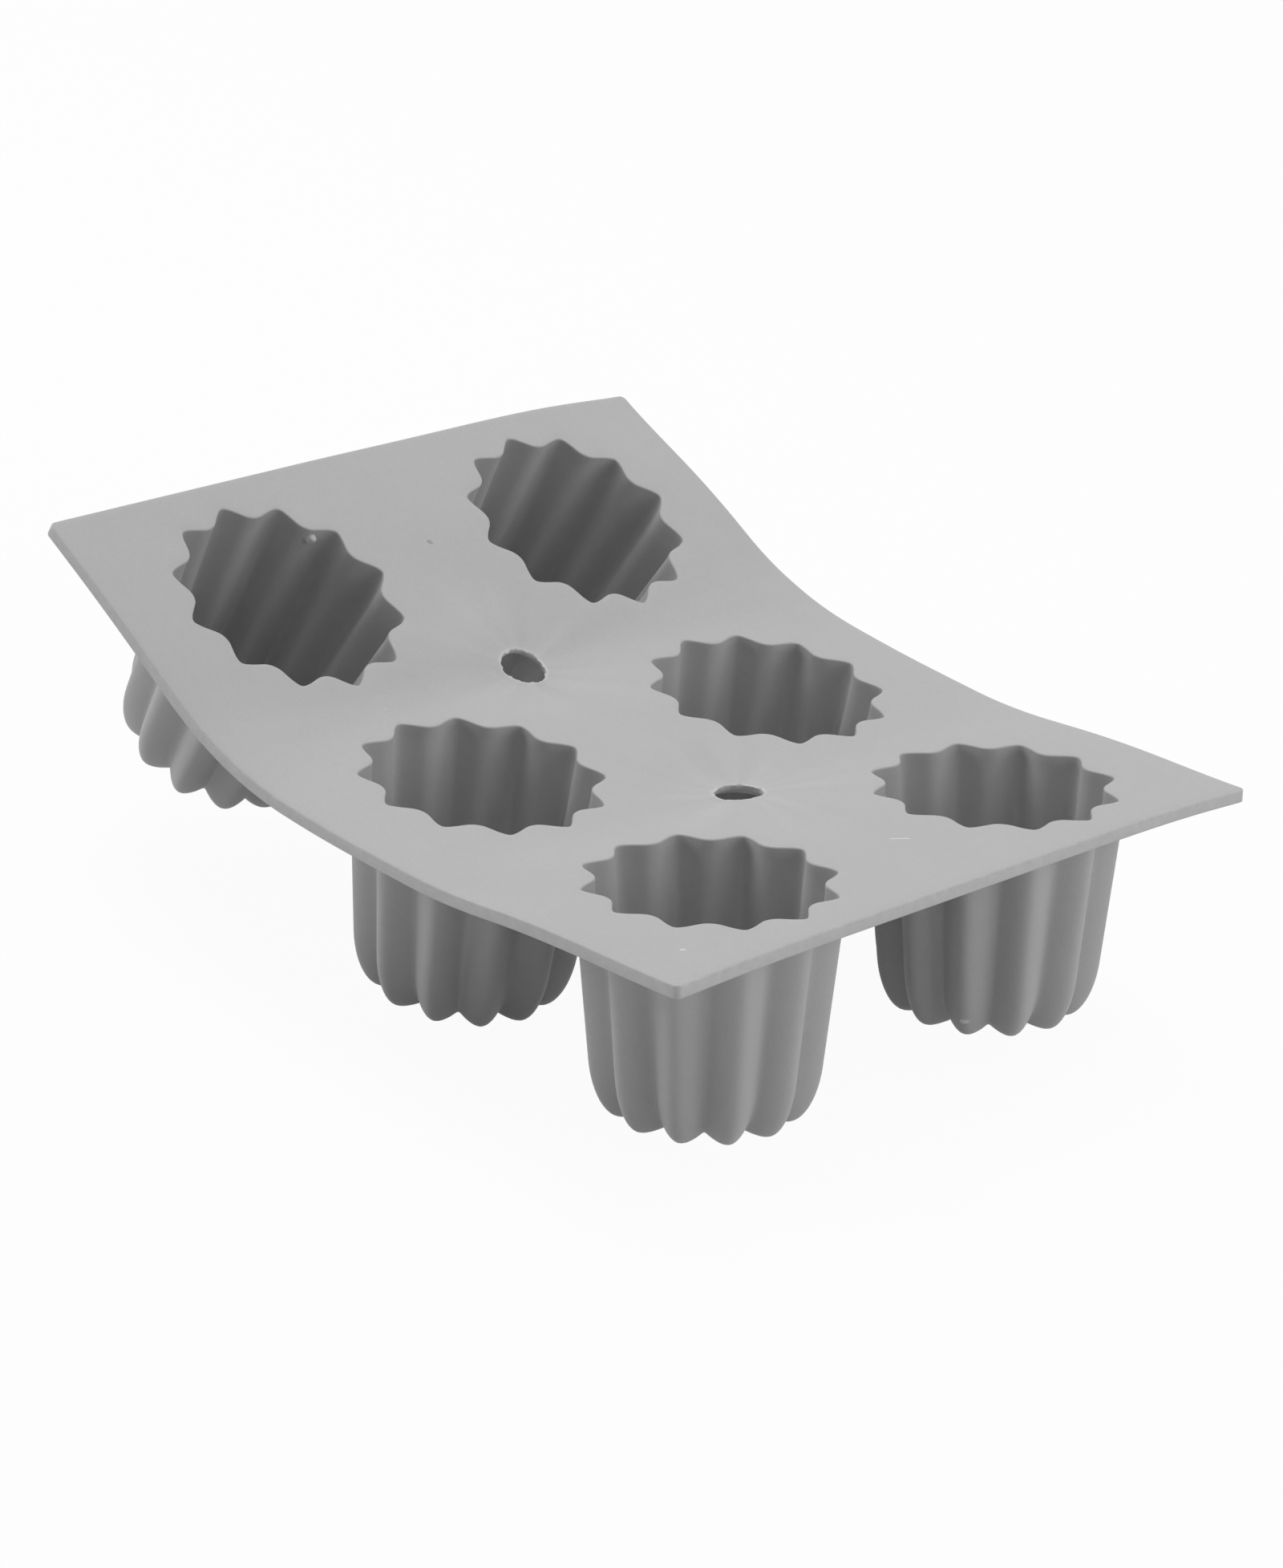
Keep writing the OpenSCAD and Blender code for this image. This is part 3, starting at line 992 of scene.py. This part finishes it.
def make_floor():
    """A plain pale floor that takes the mould's shadow."""
    mesh = bpy.data.meshes.new("studio_floor")
    corners = ((-1, -1), (1, -1), (1, 1), (-1, 1))
    mesh.from_pydata([(x * stage_half, y * stage_half, 0) for x, y in corners], [], [(0, 1, 2, 3)])
    stage = bpy.data.objects.new("studio_floor", mesh)
    stage.location.z = -stage_drop
    bpy.context.collection.objects.link(stage)
    material = bpy.data.materials.new("studio_floor")
    n = clear_tree(material)
    diffuse = n.add("ShaderNodeBsdfDiffuse", {"Color": (stage_grey, stage_grey, stage_grey, 1)})
    white = n.add("ShaderNodeEmission", {"Color": (1, 1, 1, 1), "Strength": 1.0})
    share = n.maths("MULTIPLY", seen_directly(n), stage_white)
    mix = n.add("ShaderNodeMixShader", {0: share, 1: diffuse.outputs[0], 2: white.outputs[0]})
    n.add("ShaderNodeOutputMaterial", {"Surface": mix.outputs[0]})
    mesh.materials.append(material)


def make_light():
    """A white surround, and soft light that comes mostly from above."""
    world = bpy.data.worlds.new("studio")
    bpy.context.scene.world = world
    n = clear_tree(world)
    ambient = n.add("ShaderNodeBackground", {"Color": (1, 1, 1, 1), "Strength": ambient_light})
    white = n.add("ShaderNodeBackground", {"Color": (1, 1, 1, 1), "Strength": 1.0})
    mix = n.add("ShaderNodeMixShader", {
        0: seen_directly(n), 1: ambient.outputs[0], 2: white.outputs[0],
    })
    n.add("ShaderNodeOutputWorld", {"Surface": mix.outputs[0]})
    for name, (at, size, watts) in lamps.items():
        area_light(name, at, size, watts)


def dress_row(row, shell, material):
    """A row's skin, with the frame's parts under it hidden; the middle row's skin is attached to the middle
    row's body.
    """
    name = ROW_NAMES[row]
    piece = row_skin(row, shell, material)
    covered = ["deck_" + name] + ["cup_" + name + "_" + side for side in SIDE_NAMES.values()]
    if row == MIDDLE:
        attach(piece, "middle_row")
    else:
        bend_start, bend_end = (Vector(place(row * s, 0, -deck_t / 2)) for s in blend_span)
        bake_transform(piece)
        covered.append("flex_web_" + name)
    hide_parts(*covered)


def dress_floor(row, side, material):
    """The two faces of a cup's floor, crowned over its disc, with the frame's floor parts hidden."""
    cup = ROW_NAMES[row] + "_" + SIDE_NAMES[side]
    body = "push_floor_" + cup
    middle = (row * row_pitch, side * cup_pitch / 2)
    faces = (("floor_top", -cavity_depth, -skin_t), ("floor_under", -cup_h + foot_dish, skin_t))
    for face, level, inward in faces:
        disc = floor_skin(face + "_" + cup, row, side, level, inward, material)
        low, high = (Vector(place(*middle, level + up)) for up in (0, floor_lift))
        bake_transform(disc)
        if face == "floor_top":
            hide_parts(body, "floor_ring_" + cup)


make_camera()
make_floor()
make_light()

finish = finish_group()
grey = silicone(
    "grey_silicone", finish, colour=(0.457, 0.457, 0.463), grain=0.10, mottle=0.08, streaks=0.22, dust=0.5,
)
cup_shell = fluted_shell("cup", cup_profile(), fluted_shell_tree(), grey)

for row in (FRONT, MIDDLE, REAR):
    dress_row(row, cup_shell, grey)
    for side in (LEFT, RIGHT):
        dress_floor(row, side, grey)
